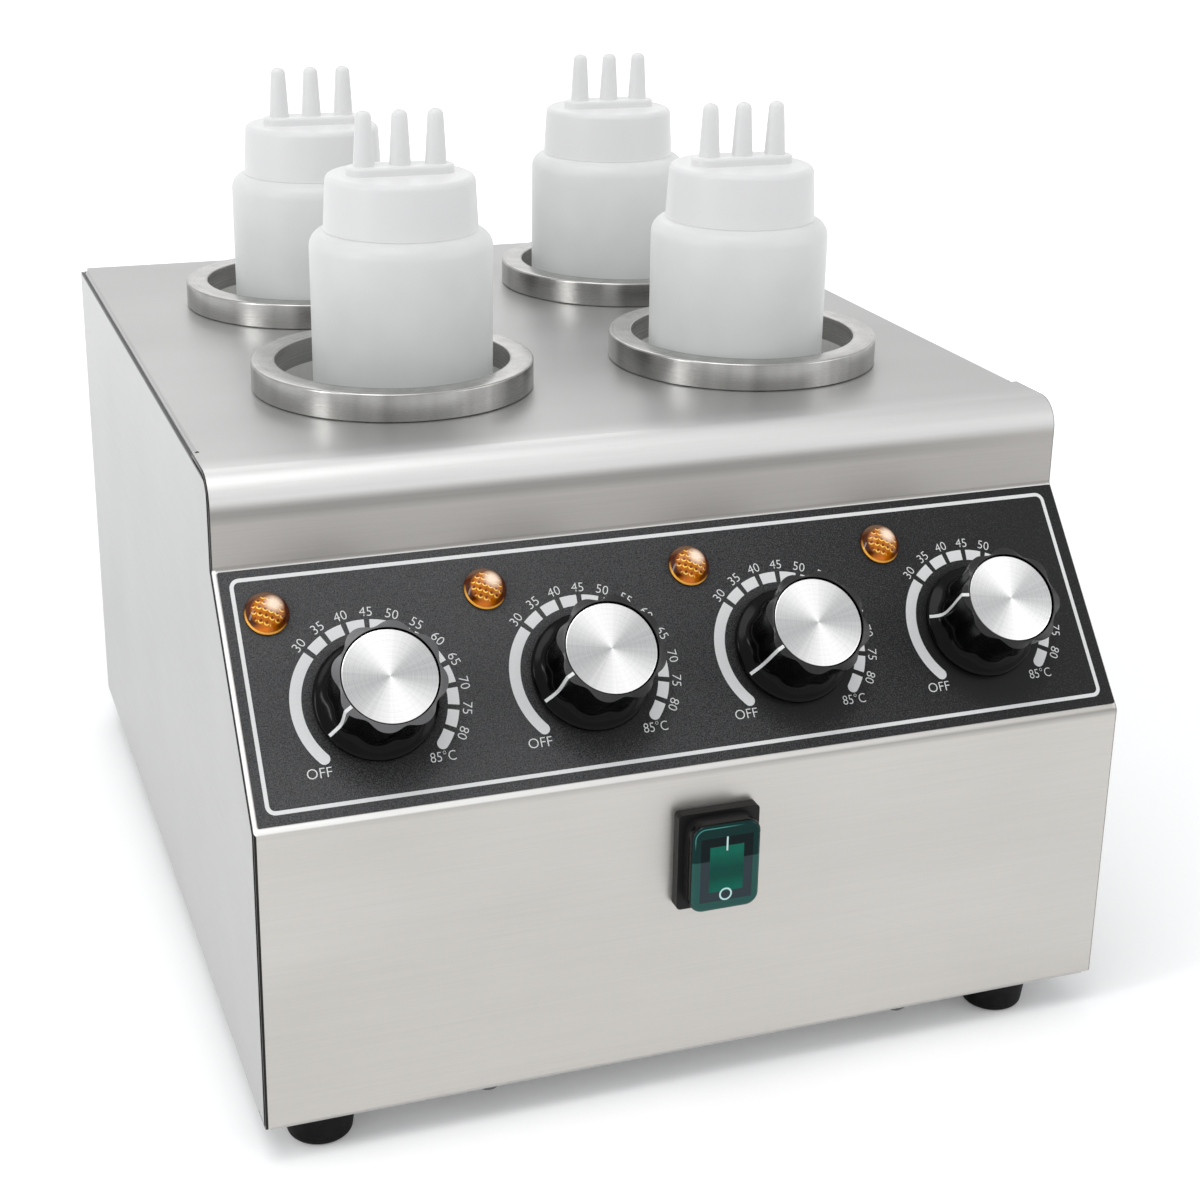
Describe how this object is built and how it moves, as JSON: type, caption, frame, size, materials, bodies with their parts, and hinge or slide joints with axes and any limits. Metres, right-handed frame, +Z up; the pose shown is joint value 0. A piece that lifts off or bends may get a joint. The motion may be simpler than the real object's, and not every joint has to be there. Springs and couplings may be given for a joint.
{
  "type": "topping bottle warmer",
  "caption": "Countertop warmer: stepped steel casing with a sloped dial panel, heated wells in the deck and squeeze bottles with nozzle caps.",
  "frame": {"origin": "middle of the whole part's footprint, at the bottom of the feet", "axes": "+Z up, -Y to the front where the dials are, +X to the right as seen from the front"},
  "size_m": [0.3, 0.394, 0.3083],
  "materials": {
    "front_steel": "brushed along the width, soft satin",
    "side_steel": "fine satin, smoother than the front",
    "plain_steel": "plain mill finish",
    "overlay_print": "fine grained dark grey print",
    "screw_steel": "bright plated",
    "foot_rubber": "matt black",
    "collar_metal": "turned, satin",
    "cup_steel": "drawn and polished",
    "heater_metal": "heat toned plated steel",
    "bottle_plastic": "frosted, lets light through",
    "cap_plastic": "frosted, lets light through",
    "thermostat_body": "dark moulded body",
    "shaft_metal": "turned",
    "knob_black": "gloss moulded",
    "disc_aluminium": "spun",
    "lens_amber": "clear amber with inner facets",
    "lamp_sleeve": "black moulded",
    "switch_black": "black moulded",
    "rocker_lit": "green, lit from within when on",
    "switch_clear": "clear soft cover",
    "gland_black": "black moulded",
    "block_pale": "pale moulded"
  },
  "bodies": {
    "casing": {"back_panel": "plain_steel", "band_heater_front_left": "heater_metal", "band_heater_front_right": "heater_metal", "band_heater_rear_left": "heater_metal", "band_heater_rear_right": "heater_metal", "base_plate": "plain_steel", "cable_gland": "gland_black", "casing_screws": "screw_steel", "foot_front_left": "foot_rubber", "foot_front_right": "foot_rubber", "foot_rear_left": "foot_rubber", "foot_rear_right": "foot_rubber", "foot_screws": "screw_steel", "gland_nut": "screw_steel", "lamp_bodies": "lamp_sleeve", "lamp_lens_1": "lens_amber", "lamp_lens_2": "lens_amber", "lamp_lens_3": "lens_amber", "lamp_lens_4": "lens_amber", "panel_overlay": "overlay_print", "side_panel_left": "side_steel", "side_panel_right": "side_steel", "switch_cover": "switch_clear", "switch_housing": "switch_black", "terminal_block": "block_pale", "thermostat_1": "thermostat_body", "thermostat_2": "thermostat_body", "thermostat_3": "thermostat_body", "thermostat_4": "thermostat_body", "thermostat_screws": "screw_steel", "well_collar_front_left": "collar_metal", "well_collar_front_right": "collar_metal", "well_collar_rear_left": "collar_metal", "well_collar_rear_right": "collar_metal", "well_cup_front_left": "cup_steel", "well_cup_front_right": "cup_steel", "well_cup_rear_left": "cup_steel", "well_cup_rear_right": "cup_steel", "wrap_cover": "front_steel"},
    "dial_1": {"knob_1": "knob_black", "knob_disc_1": "disc_aluminium", "thermostat_shaft_1": "shaft_metal"},
    "dial_2": {"knob_2": "knob_black", "knob_disc_2": "disc_aluminium", "thermostat_shaft_2": "shaft_metal"},
    "dial_3": {"knob_3": "knob_black", "knob_disc_3": "disc_aluminium", "thermostat_shaft_3": "shaft_metal"},
    "dial_4": {"knob_4": "knob_black", "knob_disc_4": "disc_aluminium", "thermostat_shaft_4": "shaft_metal"},
    "rocker": {"switch_rocker": "rocker_lit"},
    "bottle_front_left_body": {"bottle_front_left": "bottle_plastic"},
    "cap_front_left_body": {"bottle_cap_front_left": "cap_plastic"},
    "bottle_front_right_body": {"bottle_front_right": "bottle_plastic"},
    "cap_front_right_body": {"bottle_cap_front_right": "cap_plastic"},
    "bottle_rear_left_body": {"bottle_rear_left": "bottle_plastic"},
    "cap_rear_left_body": {"bottle_cap_rear_left": "cap_plastic"},
    "bottle_rear_right_body": {"bottle_rear_right": "bottle_plastic"},
    "cap_rear_right_body": {"bottle_cap_rear_right": "cap_plastic"}
  },
  "joints": [
    {"name": "dial_1_turn", "type": "hinge", "parent": "casing", "child": "dial_1", "pos_m": [-0.10612, -0.16247, 0.14504], "axis": [0, 0.766, -0.6428], "range_deg": [-14, 256]},
    {"name": "dial_2_turn", "type": "hinge", "parent": "casing", "child": "dial_2", "pos_m": [-0.03537, -0.16247, 0.14504], "axis": [0, 0.766, -0.6428], "range_deg": [-20, 250]},
    {"name": "dial_3_turn", "type": "hinge", "parent": "casing", "child": "dial_3", "pos_m": [0.03537, -0.16247, 0.14504], "axis": [0, 0.766, -0.6428], "range_deg": [-20, 250]},
    {"name": "dial_4_turn", "type": "hinge", "parent": "casing", "child": "dial_4", "pos_m": [0.10612, -0.16247, 0.14504], "axis": [0, 0.766, -0.6428], "range_deg": [-55, 215]},
    {"name": "rocker_tilt", "type": "hinge", "parent": "casing", "child": "rocker", "pos_m": [0, -0.1877, 0.0868], "axis": [-1, 0, 0], "range_deg": [0, 14]},
    {"name": "bottle_front_left_lift", "type": "slide", "parent": "casing", "child": "bottle_front_left_body", "axis": [0, 0, 1], "range_m": [0, 0.16]},
    {"name": "cap_front_left_lift", "type": "slide", "parent": "bottle_front_left_body", "child": "cap_front_left_body", "axis": [0, 0, 1], "range_m": [0, 0.06]},
    {"name": "bottle_front_right_lift", "type": "slide", "parent": "casing", "child": "bottle_front_right_body", "axis": [0, 0, 1], "range_m": [0, 0.16]},
    {"name": "cap_front_right_lift", "type": "slide", "parent": "bottle_front_right_body", "child": "cap_front_right_body", "axis": [0, 0, 1], "range_m": [0, 0.06]},
    {"name": "bottle_rear_left_lift", "type": "slide", "parent": "casing", "child": "bottle_rear_left_body", "axis": [0, 0, 1], "range_m": [0, 0.16]},
    {"name": "cap_rear_left_lift", "type": "slide", "parent": "bottle_rear_left_body", "child": "cap_rear_left_body", "axis": [0, 0, 1], "range_m": [0, 0.06]},
    {"name": "bottle_rear_right_lift", "type": "slide", "parent": "casing", "child": "bottle_rear_right_body", "axis": [0, 0, 1], "range_m": [0, 0.16]},
    {"name": "cap_rear_right_lift", "type": "slide", "parent": "bottle_rear_right_body", "child": "cap_rear_right_body", "axis": [0, 0, 1], "range_m": [0, 0.06]}
  ]
}
